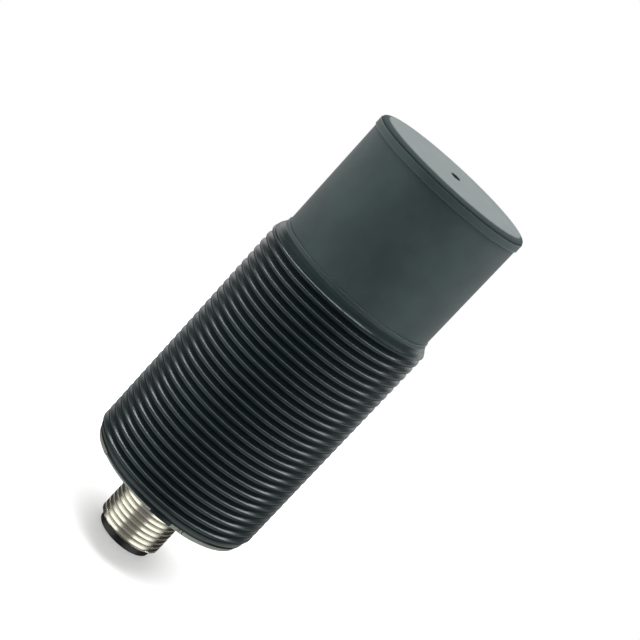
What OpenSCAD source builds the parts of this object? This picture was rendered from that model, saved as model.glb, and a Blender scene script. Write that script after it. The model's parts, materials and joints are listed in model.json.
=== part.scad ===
// Capacitive proximity sensor in a threaded plastic barrel, with a round plug connector.
// The sensing face lies in the plane z = 0 and looks along +Z. Everything else is below it.
// Angles run anticlockwise from +X, seen from the sensing face.

/* [Front cap] */
// Diameter of the smooth cap where it meets the barrel
cap_d = 29.34; // [28:0.02:30.4]
// Length of the cap from the sensing face to the barrel
cap_len = 22.6; // [19:0.1:40]
// Thickness of the wall behind the sensing face
face_t = 1.5; // [1:0.1:2.5]
// Thickness of the cap's side wall
cap_wall = 1.5; // [1.2:0.1:1.8]
// Growth of the cap's radius from its open end to its rim
cap_draft = 0.07; // [0:0.01:0.2]
// How far the rim stands out from the side wall
rim_step = 0.19; // [0.1:0.01:0.4]
// Height of the rim along the axis
rim_h = 1.2; // [0.8:0.1:3]
// Width of the rounded edge of the sensing face
edge_w = 1.85; // [0.5:0.05:3]
// Height of the rounded edge of the sensing face
edge_h = 0.6; // [0.3:0.05:1.2]
// Diameter of the moulding dimple in the middle of the face
dimple_d = 1.85; // [1:0.05:3]
// Depth of the moulding dimple
dimple_h = 0.6; // [0.2:0.1:0.8]

/* [Threaded barrel] */
// Outer diameter of the barrel's thread
thread_d = 31.75; // [31.5:0.05:34]
// Pitch of the barrel's thread
thread_pitch = 1.5; // [1:0.25:2]
// Number of thread ridges
thread_ridges = 29; // [24:1:40]
// How far the collar stands out from the cap
collar_step = 0.2; // [0.1:0.05:0.4]
// Height of the plain collar between cap and thread
collar_h = 1.05; // [0.5:0.05:3]
// Height of the slope that leads into the thread
lead_h = 1; // [0.5:0.1:2]
// How far the plain rear end lies inside the thread's crests
end_step = 0.42; // [0.2:0.02:0.6]
// Height of the plain rear end
end_h = 0.75; // [0.4:0.05:3]
// Thickness of the barrel's wall under the thread
barrel_wall = 2.35; // [2:0.05:2.6]
// Thickness of the barrel's wall around the rear cap
seat_wall = 1.35; // [1.1:0.05:1.5]
// Length of the nose that fits inside the front cap
nose_len = 8; // [5:0.5:10]
// Thickness of the nose's wall
nose_wall = 1.8; // [1.6:0.1:2.4]

/* [Rear cap] */
// Height of the rear cap's rim behind the barrel
rear_rim_h = 0.8; // [0.7:0.05:1.4]
// How far the rear cap's rim lies inside the barrel's end
rear_rim_step = 0.25; // [0.1:0.05:0.4]
// Thickness of the rear cap's end plate
plate_t = 1.6; // [1.4:0.1:2.5]
// Length of the skirt that fits inside the barrel
skirt_len = 6.65; // [6.2:0.05:10]
// Thickness of the skirt
skirt_wall = 1.3; // [1.2:0.05:1.5]
// Height of the barrel's locking tongue
key_h = 0.45; // [0.2:0.05:0.5]
// Angle at which the locking tongue starts
key_from = -136.5; // [-150:0.5:-110]
// Angle at which the tongue's full-height tab starts
tab_from = -88.3; // [-100:0.1:-80]
// Angle at which the tongue and its tab end
key_to = -73; // [-78:0.5:-70]
// Angle at which the recess in the rear cap's rim ends
recess_to = -66; // [-69:0.5:-50]

/* [Connector] */
// Outer diameter of the connector's thread
plug_d = 11.86; // [11.7:0.02:12]
// Pitch of the connector's thread
plug_pitch = 1; // [0.75:0.25:1]
// Number of ridges on the connector's thread
plug_ridges = 8; // [6:1:12]
// Length of the plain collar next to the rear cap
plug_collar_h = 1.55; // [1:0.05:4]
// Length of the narrow neck in front of the connector's thread
plug_neck_h = 0.95; // [0.5:0.05:2]
// Length of the chamfered tip behind the connector's thread
plug_tip_h = 0.68; // [0.5:0.02:1]
// Bore of the connector's metal shell
shell_bore_d = 9.7; // [9.4:0.05:9.8]
// Width of the connector's inner flange beyond its thread
flange_w = 1.75; // [1.6:0.05:1.8]
// Thickness of the connector's inner flange
flange_t = 1.8; // [1.6:0.1:2.2]
// Height of the plastic lip that covers the metal end
lip_h = 1.25; // [0.8:0.05:2]
// Diameter of the plastic lip
lip_d = 10.16; // [9.9:0.02:10.6]
// Diameter of the plug's socket
socket_d = 8.6; // [8.3:0.05:8.8]
// Depth of the plug's socket
socket_h = 8.8; // [7:0.1:9.5]
// Diameter of a contact pin
pin_d = 1; // [0.8:0.05:1.2]
// Distance of each contact pin from the axis
pin_ring_r = 2.5; // [2.3:0.05:2.7]
// Depth of the pin tips below the plastic lip
pin_recess = 2; // [1:0.1:3]

/* [Electronics] */
// Thickness of both circuit boards
pcb_t = 1.6; // [1:0.1:1.8]
// Gap between the long circuit board's edge and the nose's bore
board_margin = 1.25; // [1:0.05:2]
// Thickness of the electrodes
electrode_t = 0.4; // [0.2:0.05:0.6]
// Distance from the electrode carrier's edge to the guard electrode
guard_edge = 2.65; // [1.6:0.05:4]
// Width of the guard electrode's ring
guard_w = 1.6; // [1:0.1:2]
// Gap between the sensing electrode and the guard electrode
guard_gap = 1.3; // [0.8:0.1:1.6]
// Thickness of the electrode carrier's plate
carrier_t = 1.9; // [1.4:0.1:2.5]
// Thickness of the shield cup's metal
shield_t = 0.4; // [0.2:0.05:0.6]
// Thickness of the insulating disc inside the shield cup
insulator_t = 0.4; // [0.2:0.05:0.6]
// Thickness of a board support
support_t = 2; // [1.5:0.1:3]
// Length of the trimmer's case
trimmer_h = 5; // [4:0.1:5.2]
// Gap between the trimmer's case and the pieces around it
trimmer_gap = 0.46; // [0.35:0.01:0.6]
// Thickness of the trimmer's case around its screw
trimmer_wall = 0.4; // [0.35:0.05:0.5]
// Depth of the trimmer screw's end below the rear face
trimmer_recess = 0.45; // [0.2:0.05:0.8]
// Gap between a signal lamp and the pieces around it
led_gap = 0.56; // [0.5:0.01:0.9]
// Height of a signal lamp above its board
led_h = 4.5; // [3:0.1:5]

/* [Fits] */
// Gap around pieces that slide into each other and stay there
fit_gap = 0.1; // [0.05:0.01:0.15]
// Gap around the trimmer's turning screw
turn_gap = 0.05; // [0.02:0.01:0.08]
// Gap around leads and contact pins
pin_gap = 0.04; // [0.02:0.01:0.1]
// Gap on each side of a sealing ring
seal_gap = 0.01; // [0.01:0.01:0.03]

/* [Hidden] */
$fn = 96;

// How far a cut reaches past the faces that it opens
over = 1;

// A metric thread: crest and root widths and depth follow from the pitch
function thread_depth(pitch) = 0.6134 * pitch;
function crest_w(pitch) = pitch / 8;
function flank_w(pitch, rise) = rise * tan(30);
function root_w(pitch) = pitch - crest_w(pitch) - 2 * flank_w(pitch, thread_depth(pitch));

// Outline of a row of ridges, from the first crest downwards to the last one
function ridge_points(r, pitch, ridges, z_first) = [
    for (i = [0 : ridges - 1])
        for (p = [[r, crest_w(pitch) / 2],
                  [r, -crest_w(pitch) / 2],
                  [r - thread_depth(pitch), (root_w(pitch) - pitch) / 2],
                  [r - thread_depth(pitch), (-root_w(pitch) - pitch) / 2]])
            if (i < ridges - 1 || p[1] > -crest_w(pitch))
                [p[0], z_first - i * pitch + p[1]]
];

// Radii of the housing
cap_r = cap_d / 2;
cap_in_r = cap_r - cap_wall;
rim_r = cap_r + cap_draft + rim_step;
rim_line = 0.13;
face_edge_r = rim_r - rim_line - edge_w;
thread_r = thread_d / 2;
root_r = thread_r - thread_depth(thread_pitch);
collar_r = cap_r + collar_step;
end_r = thread_r - end_step;
bore_r = root_r - barrel_wall;
seat_r = root_r - seat_wall;
nose_r = cap_in_r - fit_gap;
nose_in_r = nose_r - nose_wall;
skirt_r = seat_r - fit_gap;
skirt_in_r = skirt_r - skirt_wall;
rear_rim_r = end_r - rear_rim_step;

// The locking tongue at the barrel's rear end, and the recess it lies in
key_step = 0.65;
key_r = end_r - key_step;
key_in_r = seat_r + fit_gap;
web_r = key_r - fit_gap;
key_play = 0.5;
web_play = 0.03;
key_relief = 0.1;
tick_w = 0.25;
tick_h = 0.5;
tick_off = 1.8;

// Levels along the axis, from the sensing face down to the connector's end
z_inside = -face_t;
z_collar = -cap_len;
z_nose = z_collar + nose_len;
z_lead = z_collar - collar_h;
z_crest_1 = z_lead - lead_h - crest_w(thread_pitch) / 2;
z_crest_n = z_crest_1 - (thread_ridges - 1) * thread_pitch;
z_root_end = z_crest_n - (thread_pitch + root_w(thread_pitch)) / 2;
z_land = z_root_end - flank_w(thread_pitch, end_r - root_r);
z_barrel_end = z_land - end_h;
z_rear = z_barrel_end - rear_rim_h;
z_plate = z_rear + plate_t;
z_skirt = z_plate + skirt_len;
z_shoulder = z_skirt + pcb_t;

// The connector
plug_r = plug_d / 2;
plug_root_r = plug_r - thread_depth(plug_pitch);
flange_r = plug_r + flange_w;
shell_bore_r = shell_bore_d / 2;
plug_collar_step = 0.3;
shell_r = plug_r - plug_collar_step;
z_plug_crest_1 = z_rear - plug_collar_h - plug_neck_h - plug_pitch / 2;
z_plug_crest_n = z_plug_crest_1 - (plug_ridges - 1) * plug_pitch;
z_shell_end = z_plug_crest_n - plug_tip_h;
z_flange = z_plate + flange_t;
z_lip = z_shell_end - lip_h;
z_socket = z_lip + socket_h;
carrier_tail_h = 0.75;
z_carrier = z_flange + carrier_tail_h;
carrier_r = shell_bore_r - pin_gap;
key_rib_w = 1.4;
key_rib_h = 0.7;
key_rib_recess = 1;
pin_tail_h = 0.6;
pin_tip_h = 0.3;

// Sealing rings, each in its groove
cap_groove_h = 1;
cap_groove_w = 1.5;
cap_groove_drop = 4;
rear_groove_h = 0.8;
rear_groove_w = 1.3;
rear_groove_drop = 3;
flange_groove_w = 1;
flange_groove_h = 1;
flange_groove_r = (plug_r + flange_r) / 2;

// Electrodes, shield and boards
electrode_carrier_r = cap_in_r - fit_gap;
guard_r = electrode_carrier_r - guard_edge;
guard_in_r = guard_r - guard_w;
sensing_r = guard_in_r - guard_gap;
pocket_gap = 0.05;
carrier_skirt_w = 0.8;
shield_r = electrode_carrier_r - carrier_skirt_w - fit_gap;
shield_in_r = shield_r - shield_t;
z_electrode = z_inside - electrode_t;
z_carrier_back = z_inside - carrier_t;
z_shield_back = z_carrier_back - shield_t;
z_board = z_shield_back - insulator_t;
shield_gap = 0.6;
lead_d = 0.8;
lead_len = 6.2;
lead_y = pcb_t / 2 + lead_d / 2 + fit_gap;
guard_lead_x = (guard_in_r + guard_r) / 2;
lead_clear = 0.5;
board_w = 2 * (nose_in_r - board_margin);
tab_w = 4;
tab_x = board_w / 2 - tab_w / 2;
connector_board_r = seat_r - 2 * fit_gap;
support_r = bore_r - fit_gap;
support_inset = 5;
rear_bay = 14;
z_support_front = z_collar - support_inset - support_t;
z_support_rear = z_shoulder + rear_bay;
window_r = 3.5;
window_y = 6;

// Chips on the long circuit board
signal_chip_len = 5;
power_chip_len = 6.5;
power_chip_rise = 6;

// Trimmer and signal lamps stand on a circle between the connector and the skirt
service_r = (flange_r + skirt_in_r) / 2;
service_w = skirt_in_r - flange_r;
trimmer_angle = 90;
output_led_angle = -60;
power_led_angle = -120;
led_foot_w = 0.25;
led_r = service_w / 2 - led_foot_w - led_gap;
trimmer_w = service_w - 2 * trimmer_gap;
trimmer_screw_r = trimmer_w / 2 - trimmer_wall;
trimmer_bore_h = 3;
trimmer_floor_gap = 0.1;
z_trimmer = z_skirt - trimmer_h;
screw_slot_w = 0.5;
screw_slot_h = 0.7;
screw_hole_r = trimmer_screw_r + 3 * fit_gap;
trimmer_seal_in_r = trimmer_screw_r + fit_gap;
trimmer_seal_w = 0.5;
trimmer_seal_r = trimmer_seal_in_r + trimmer_seal_w;
seal_pocket_h = 0.6;

// A tube from level z_low up to level z_high
module tube(r_out, r_in, z_low, z_high) {
    translate([0, 0, z_low])
        difference() {
            cylinder(r = r_out, h = z_high - z_low);
            translate([0, 0, -over]) cylinder(r = r_in, h = z_high - z_low + 2 * over);
        }
}

// A solid rod or disc from level z_low up to level z_high
module rod(r, z_low, z_high) {
    translate([0, 0, z_low]) cylinder(r = r, h = z_high - z_low);
}

// Part of a tube between two angles
module tube_sector(r_out, r_in, z_low, z_high, from, to) {
    rotate([0, 0, from])
        rotate_extrude(angle = to - from)
            translate([r_in, z_low]) square([r_out - r_in, z_high - z_low]);
}

// The stepped tongue, or with gaps around it the recess it lies in: low along most of its arc,
// and as high as the rear cap's rim at its tab
module tongue(r_out, r_in, z_low, z_high, side_gap, end_gap) {
    low_from = key_from - side_gap;
    high_from = tab_from - side_gap;
    difference() {
        tube_sector(r_out, r_in, z_low, z_high, low_from, key_to + side_gap);
        tube_sector(r_out + over, r_in - over, z_low - over, z_barrel_end - key_h - end_gap,
                    low_from - over, high_from);
    }
}

// A sealing ring with a round section
module seal_ring(r_mid, r_section, z) {
    rotate_extrude() translate([r_mid, z]) circle(r = r_section, $fn = 32);
}

// Puts its children on the service circle, at an angle
module at_service(angle) {
    rotate([0, 0, angle]) translate([service_r, 0, 0]) children();
}

// Places its children at one of the four contact positions
module at_pin(i) {
    rotate([0, 0, 45 + 90 * i]) translate([pin_ring_r, 0, 0]) children();
}

// Puts a part on the front (+1) or back (-1) face of the long circuit board
module on_board(side, x, z) {
    mirror([0, side < 0 ? 1 : 0, 0]) translate([x, pcb_t / 2, z]) children();
}

// A chip package that stands on a board face, with leads on both sides
module chip(len, wid, h, leads, lead_pitch) {
    lead_reach = 1;
    lead_w = 0.4;
    stand_off = 0.1;
    foot_h = 0.2;
    translate([-wid / 2, stand_off, -len / 2]) cube([wid, h, len]);
    for (side = [-1, 1])
        for (i = [0 : leads - 1])
            translate([0, 0, (i - (leads - 1) / 2) * lead_pitch - lead_w / 2]) {
                translate([side > 0 ? wid / 2 - lead_w / 2 : -wid / 2 - lead_w / 2, 0, 0])
                    cube([lead_w, h / 2, lead_w]);
                translate([side > 0 ? wid / 2 : -wid / 2 - lead_reach, 0, 0])
                    cube([lead_reach, foot_h, lead_w]);
            }
}

// A small block with a raised metal end on each side
module chip_block(len, wid, h) {
    end_len = len / 5;
    end_rise = 0.05;
    translate([-wid / 2 + end_rise, 0, -len / 2])
        cube([wid - 2 * end_rise, h - end_rise, len]);
    for (z = [-len / 2, len / 2 - end_len])
        translate([-wid / 2, 0, z]) cube([wid, h, end_len]);
}

module front_cap() {
    steps = 6;
    line_h = 0.2;
    slope_h = 0.15;
    z_edge = -edge_h;
    z_rim = z_edge - line_h;
    z_rim_end = z_rim - rim_h;
    color([0.17, 0.2, 0.2])
        difference() {
            rotate_extrude()
                polygon(concat(
                    [[0, z_inside], [0, 0]],
                    [for (i = [0 : steps])
                        [face_edge_r + edge_w * sin(90 * i / steps),
                         z_edge * (1 - cos(90 * i / steps))]],
                    [[rim_r - rim_line, z_rim], [rim_r, z_rim], [rim_r, z_rim_end],
                     [cap_r + cap_draft, z_rim_end - slope_h], [cap_r, z_collar],
                     [cap_in_r, z_collar], [cap_in_r, z_inside]]));
            rod(dimple_d / 2, -dimple_h, over);
        }
}

module threaded_barrel() {
    nose_chamfer = 0.4;
    end_chamfer = 0.2;
    z_groove = z_nose - cap_groove_drop;
    color([0.1, 0.12, 0.12]) {
        rotate_extrude()
            polygon(concat(
                [[nose_in_r, z_nose], [nose_r - nose_chamfer, z_nose],
                 [nose_r, z_nose - nose_chamfer],
                 [nose_r, z_groove], [nose_r - cap_groove_h, z_groove],
                 [nose_r - cap_groove_h, z_groove - cap_groove_w],
                 [nose_r, z_groove - cap_groove_w],
                 [nose_r, z_collar], [collar_r, z_collar], [collar_r, z_lead]],
                ridge_points(thread_r, thread_pitch, thread_ridges, z_crest_1),
                [[root_r, z_root_end + root_w(thread_pitch)], [root_r, z_root_end],
                 [end_r, z_land], [end_r, z_barrel_end + end_chamfer],
                 [end_r - end_chamfer, z_barrel_end], [seat_r, z_barrel_end],
                 [seat_r, z_shoulder], [bore_r, z_shoulder], [bore_r, z_lead],
                 [nose_in_r, z_lead]]));
        tongue(key_r, key_in_r, z_rear, z_barrel_end + end_h / 2, 0, 0);
    }
}

module rear_cap() {
    edge = 0.3;
    steps = 4;
    z_groove = z_skirt - rear_groove_drop;
    color([0.72, 0.76, 0.72])
        difference() {
            rotate_extrude()
                polygon(concat(
                    [[shell_r + fit_gap, z_plate], [skirt_in_r, z_plate], [skirt_in_r, z_skirt],
                     [skirt_r, z_skirt], [skirt_r, z_groove],
                     [skirt_r - rear_groove_h, z_groove],
                     [skirt_r - rear_groove_h, z_groove - rear_groove_w],
                     [skirt_r, z_groove - rear_groove_w],
                     [skirt_r, z_barrel_end], [rear_rim_r, z_barrel_end]],
                    [for (i = [0 : steps])
                        [rear_rim_r - edge + edge * cos(90 * i / steps),
                         z_rear + edge - edge * sin(90 * i / steps)]],
                    [[shell_r + fit_gap, z_rear]]));
            // Recess for the barrel's tongue, with a thin web left under it
            tube_sector(rear_rim_r + over, web_r, z_rear - over, z_barrel_end + over,
                        key_from - key_play, recess_to);
            tongue(key_r, skirt_r - key_relief, z_rear - over, z_barrel_end + key_relief,
                   key_play, web_play);
            // Thin ticks on both sides of the recess
            for (a = [key_from - tick_off, recess_to + tick_off])
                rotate([0, 0, a])
                    translate([rear_rim_r - tick_h, -tick_w / 2, z_rear - over])
                        cube([tick_h + over, tick_w, rear_rim_h + 2 * over]);
            at_service(trimmer_angle) {
                rod(screw_hole_r, z_rear - over, z_plate + over);
                rod(trimmer_seal_r + pocket_gap, z_plate - seal_pocket_h, z_plate + over);
            }
        }
}

module connector_shell() {
    color([0.72, 0.69, 0.63])
        rotate_extrude()
            polygon(concat(
                [[shell_bore_r, z_flange], [flange_r, z_flange], [flange_r, z_plate],
                 [flange_groove_r + flange_groove_w / 2, z_plate],
                 [flange_groove_r + flange_groove_w / 2, z_plate + flange_groove_h],
                 [flange_groove_r - flange_groove_w / 2, z_plate + flange_groove_h],
                 [flange_groove_r - flange_groove_w / 2, z_plate],
                 [shell_r, z_plate], [shell_r, z_rear - plug_collar_h],
                 [plug_root_r, z_rear - plug_collar_h],
                 [plug_root_r, z_plug_crest_1 + (plug_pitch - root_w(plug_pitch)) / 2]],
                ridge_points(plug_r, plug_pitch, plug_ridges, z_plug_crest_1),
                [[plug_root_r, z_shell_end], [shell_bore_r, z_shell_end]]));
}

module contact_carrier() {
    color([0.07, 0.07, 0.07])
        difference() {
            union() {
                rod(carrier_r, z_shell_end, z_carrier);
                rod(lip_d / 2, z_lip, z_shell_end);
            }
            difference() {
                rod(socket_d / 2, z_lip - over, z_socket);
                translate([-key_rib_w / 2, socket_d / 2 - key_rib_h, z_lip + key_rib_recess])
                    cube([key_rib_w, key_rib_h + over, socket_h]);
            }
            for (i = [0 : 3])
                at_pin(i) rod(pin_d / 2 + pin_gap, z_socket - over, z_carrier + over);
        }
}

module contact_pin(i) {
    color([0.83, 0.68, 0.35])
        at_pin(i) {
            rod(pin_d / 2, z_lip + pin_recess + pin_tip_h, z_shoulder + pin_tail_h);
            translate([0, 0, z_lip + pin_recess])
                cylinder(r1 = pin_d / 4, r2 = pin_d / 2, h = pin_tip_h);
        }
}

module cap_seal() {
    space = cap_in_r - nose_r + cap_groove_h;
    color([0.12, 0.12, 0.12])
        seal_ring(cap_in_r - space / 2, space / 2 - seal_gap,
                  z_nose - cap_groove_drop - cap_groove_w / 2);
}

module rear_seal() {
    space = seat_r - skirt_r + rear_groove_h;
    color([0.12, 0.12, 0.12])
        seal_ring(seat_r - space / 2, space / 2 - seal_gap,
                  z_skirt - rear_groove_drop - rear_groove_w / 2);
}

module connector_seal() {
    color([0.12, 0.12, 0.12])
        seal_ring(flange_groove_r, flange_groove_h / 2 - seal_gap, z_plate + flange_groove_h / 2);
}

module sensing_electrode() {
    color([0.8, 0.62, 0.35]) rod(sensing_r, z_electrode, z_inside);
}

module guard_electrode() {
    color([0.8, 0.62, 0.35]) tube(guard_r, guard_in_r, z_electrode, z_inside);
}

module electrode_carrier() {
    color([0.86, 0.84, 0.78])
        difference() {
            rod(electrode_carrier_r, z_nose, z_inside);
            rod(electrode_carrier_r - carrier_skirt_w, z_nose - over, z_carrier_back);
            rod(sensing_r + pocket_gap, z_electrode, z_inside + over);
            tube(guard_r + pocket_gap, guard_in_r - pocket_gap, z_electrode, z_inside + over);
            for (x = [0, guard_lead_x])
                translate([x, lead_y, 0])
                    rod(lead_d / 2 + pin_gap, z_carrier_back - over, z_inside);
        }
}

module shield_cup() {
    color([0.78, 0.72, 0.5])
        difference() {
            rod(shield_r, z_nose + shield_gap, z_carrier_back);
            rod(shield_in_r, z_nose + shield_gap - over, z_shield_back);
            for (x = [0, guard_lead_x])
                translate([x, lead_y, 0])
                    rod(lead_d / 2 + lead_clear, z_shield_back - over, z_carrier_back + over);
        }
}

module shield_insulator() {
    color([0.8, 0.6, 0.3])
        difference() {
            rod(shield_in_r - fit_gap, z_board, z_shield_back);
            for (x = [0, guard_lead_x])
                translate([x, lead_y, 0])
                    rod(lead_d / 2 + pin_gap, z_board - over, z_shield_back + over);
        }
}

module lead_wire(x) {
    translate([x, lead_y, 0]) rod(lead_d / 2, z_electrode - lead_len, z_electrode);
}

module electrode_lead() {
    color([0.85, 0.85, 0.85]) lead_wire(0);
}

module guard_lead() {
    color([0.85, 0.85, 0.85]) lead_wire(guard_lead_x);
}

module circuit_board() {
    color([0.1, 0.35, 0.2]) {
        translate([-board_w / 2, -pcb_t / 2, z_shoulder])
            cube([board_w, pcb_t, z_board - z_shoulder]);
        for (side = [-1, 1])
            translate([side * tab_x - tab_w / 2, -pcb_t / 2, z_skirt])
                cube([tab_w, pcb_t, z_shoulder - z_skirt]);
    }
}

module connector_board() {
    color([0.1, 0.35, 0.2])
        difference() {
            rod(connector_board_r, z_skirt, z_shoulder);
            for (i = [0 : 3])
                at_pin(i) rod(pin_d / 2 + pin_gap, z_skirt - over, z_shoulder + over);
            for (side = [-1, 1])
                translate([side * tab_x - tab_w / 2 - fit_gap, -pcb_t / 2 - fit_gap,
                           z_skirt - over])
                    cube([tab_w + 2 * fit_gap, pcb_t + 2 * fit_gap, pcb_t + 2 * over]);
        }
}

module board_support(z_low) {
    color([0.3, 0.3, 0.3])
        difference() {
            rod(support_r, z_low, z_low + support_t);
            translate([-board_w / 2 - fit_gap, -pcb_t / 2 - fit_gap, z_low - over])
                cube([board_w + 2 * fit_gap, pcb_t + 2 * fit_gap, support_t + 2 * over]);
            for (side = [-1, 1])
                translate([0, side * window_y, 0])
                    rod(window_r, z_low - over, z_low + support_t + over);
        }
}

module board_support_front() {
    board_support(z_support_front);
}

module board_support_rear() {
    board_support(z_support_rear);
}

// A small chip that makes or compares the signal
module signal_chip() {
    wid = 4;
    h = 1.5;
    leads = 4;
    lead_pitch = 1.27;
    color([0.12, 0.12, 0.13]) chip(signal_chip_len, wid, h, leads, lead_pitch);
}

// A larger chip that carries the supply or the output
module power_chip() {
    wid = 3.5;
    h = 1.7;
    leads = 3;
    lead_pitch = 2.3;
    color([0.12, 0.12, 0.13]) chip(power_chip_len, wid, h, leads, lead_pitch);
}

module oscillator_chip() {
    drop = 5;
    on_board(1, 0, z_board - drop - signal_chip_len / 2) signal_chip();
}

module comparator_chip() {
    drop = 1.5;
    on_board(1, 0, z_support_front - drop - signal_chip_len / 2) signal_chip();
}

module voltage_regulator() {
    on_board(1, 0, z_shoulder + power_chip_rise + power_chip_len / 2) power_chip();
}

module output_transistor() {
    on_board(-1, 0, z_shoulder + power_chip_rise + power_chip_len / 2) power_chip();
}

module protection_diodes() {
    spacing = 4;
    rise = 1.2;
    len = 3.2;
    wid = 2.5;
    h = 2.1;
    color([0.15, 0.15, 0.16])
        for (i = [-1 : 1])
            on_board(-1, i * spacing, z_shoulder + rise + len / 2) chip_block(len, wid, h);
}

module capacitors() {
    len = 3.2;
    small_w = 1.6;
    small_h = 1.2;
    large_w = 2.5;
    large_h = 1.6;
    front_x = 5;
    front_drop = 6;
    middle_x = 6;
    middle_drop = 2.5;
    rear_x = 5.5;
    rear_rise = 7;
    color([0.7, 0.58, 0.42])
        for (side = [-1, 1]) {
            on_board(1, side * front_x, z_board - front_drop - len / 2)
                chip_block(len, small_w, small_h);
            on_board(1, side * middle_x, z_support_front - middle_drop - len / 2)
                chip_block(len, large_w, large_h);
            on_board(1, side * rear_x, z_shoulder + rear_rise + len / 2)
                chip_block(len, small_w, small_h);
        }
}

module resistors() {
    len = 2;
    wid = 1.25;
    h = 0.5;
    step = 3;
    front_drop = 6;
    middle_drop = 2;
    color([0.13, 0.13, 0.14])
        for (i = [-1 : 1], z = [z_board - front_drop, z_support_front - middle_drop])
            on_board(-1, i * step, z - len / 2) chip_block(len, wid, h);
}

module filter_choke() {
    base_w = 4.4;
    base_h = 0.8;
    core_h = 2.2;
    core_margin = 0.2;
    rise = pin_tail_h + 3 * fit_gap;
    color([0.25, 0.25, 0.26])
        on_board(1, 0, z_shoulder + rise + base_w / 2) {
            translate([-base_w / 2, 0, -base_w / 2]) cube([base_w, base_h, base_w]);
            translate([0, base_h + core_h, 0])
                rotate([90, 0, 0]) cylinder(r = base_w / 2 - core_margin, h = core_h);
        }
}

module led(angle) {
    foot_h = 0.8;
    at_service(angle) {
        rod(led_r + led_foot_w, z_skirt - foot_h, z_skirt);
        rod(led_r, z_skirt - led_h + led_r, z_skirt);
        translate([0, 0, z_skirt - led_h + led_r]) sphere(r = led_r);
    }
}

module output_led() {
    color([0.95, 0.75, 0.2]) led(output_led_angle);
}

module power_led() {
    color([0.35, 0.8, 0.4]) led(power_led_angle);
}

module trimmer_body() {
    color([0.15, 0.3, 0.6])
        at_service(trimmer_angle)
            difference() {
                translate([-trimmer_w / 2, -trimmer_w / 2, z_trimmer])
                    cube([trimmer_w, trimmer_w, trimmer_h]);
                rod(trimmer_screw_r + turn_gap, z_trimmer - over, z_trimmer + trimmer_bore_h);
            }
}

module trimmer_screw() {
    z_end = z_rear + trimmer_recess;
    color([0.85, 0.7, 0.4])
        at_service(trimmer_angle)
            difference() {
                rod(trimmer_screw_r, z_end, z_trimmer + trimmer_bore_h - trimmer_floor_gap);
                translate([-trimmer_screw_r - over, -screw_slot_w / 2, z_end - over])
                    cube([2 * (trimmer_screw_r + over), screw_slot_w, screw_slot_h + over]);
            }
}

module trimmer_seal() {
    color([0.12, 0.12, 0.12])
        at_service(trimmer_angle)
            tube(trimmer_seal_r, trimmer_seal_in_r, z_plate - seal_pocket_h, z_trimmer);
}

front_cap();
threaded_barrel();
rear_cap();
connector_shell();
contact_carrier();
contact_pin(0);  // contact_pin_1
contact_pin(1);  // contact_pin_2
contact_pin(2);  // contact_pin_3
contact_pin(3);  // contact_pin_4
cap_seal();
rear_seal();
connector_seal();
sensing_electrode();
guard_electrode();
electrode_carrier();
shield_cup();
shield_insulator();
electrode_lead();
guard_lead();
circuit_board();
connector_board();
board_support_front();
board_support_rear();
oscillator_chip();
comparator_chip();
voltage_regulator();
output_transistor();
protection_diodes();
capacitors();
resistors();
filter_choke();
output_led();
power_led();
trimmer_body();
trimmer_screw();
trimmer_seal();
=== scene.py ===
# %% [markdown]
# The finish of a capacitive proximity sensor
#
# The sensor is a closed plastic tube. A smooth cap carries the sensing face, a threaded
# barrel goes into the machine, a pale rear cap lets the light of two lamps out, and a
# metal plug connector takes the cable. The construction is loaded first as a fixed frame.
# Everything made below lies in that same frame, in metres, with the sensing face in the
# plane z = 0 and the rest below it. A named factor turns millimetres into metres.

# %% Load the frame
import json
import math

import bmesh
import bpy
from mathutils import Matrix, Vector


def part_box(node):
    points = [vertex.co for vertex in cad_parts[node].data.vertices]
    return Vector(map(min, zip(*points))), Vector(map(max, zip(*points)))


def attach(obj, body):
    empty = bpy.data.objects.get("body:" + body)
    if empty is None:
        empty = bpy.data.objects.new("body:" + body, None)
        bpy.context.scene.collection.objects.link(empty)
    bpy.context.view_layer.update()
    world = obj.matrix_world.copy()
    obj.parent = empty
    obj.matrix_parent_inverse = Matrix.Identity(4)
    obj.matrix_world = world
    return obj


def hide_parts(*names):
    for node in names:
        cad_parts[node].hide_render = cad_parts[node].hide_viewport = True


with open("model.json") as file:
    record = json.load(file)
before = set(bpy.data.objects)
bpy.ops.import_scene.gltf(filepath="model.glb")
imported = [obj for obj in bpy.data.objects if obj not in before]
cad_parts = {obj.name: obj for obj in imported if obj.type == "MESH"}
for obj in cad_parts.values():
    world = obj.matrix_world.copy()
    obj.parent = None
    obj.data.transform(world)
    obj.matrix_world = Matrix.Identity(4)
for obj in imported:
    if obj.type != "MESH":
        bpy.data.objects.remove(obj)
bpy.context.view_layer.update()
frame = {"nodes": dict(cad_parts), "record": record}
MM = 0.001
scene = bpy.context.scene
print("pieces in the frame:", len(frame["nodes"]))

# %% [markdown]
# Where things are
#
# The box of a node that is centred on the axis gives its two levels and its outer radius,
# so nothing has to be typed twice. Only what a box can't tell, such as a wall or a groove,
# is named further down where it is used.

# %% Read the levels and radii
def measures(node):
    """The upper level, the lower level and the outer radius of a round node."""
    low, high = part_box(node)
    return high.z, low.z, high.x


_, z_collar, rim_r = measures("front_cap")
z_nose, _, thread_r = measures("threaded_barrel")
z_skirt, z_rear, rear_rim_r = measures("rear_cap")
z_flange, z_shell_end, flange_r = measures("connector_shell")
z_carrier, z_lip, lip_r = measures("contact_carrier")
print("barrel thread radius, mm:", round(thread_r / MM, 3), "length, mm:", round(-z_lip / MM, 3))

# %% [markdown]
# Helpers for objects
#
# The camera, the lamps and the pieces enter the scene in the same way, and every mesh here
# is worked out as a bmesh first.

# %% Helpers for objects
def add_object(name, data):
    """Puts an object with this data into the scene."""
    made = bpy.data.objects.new(name, data)
    scene.collection.objects.link(made)
    return made


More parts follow.
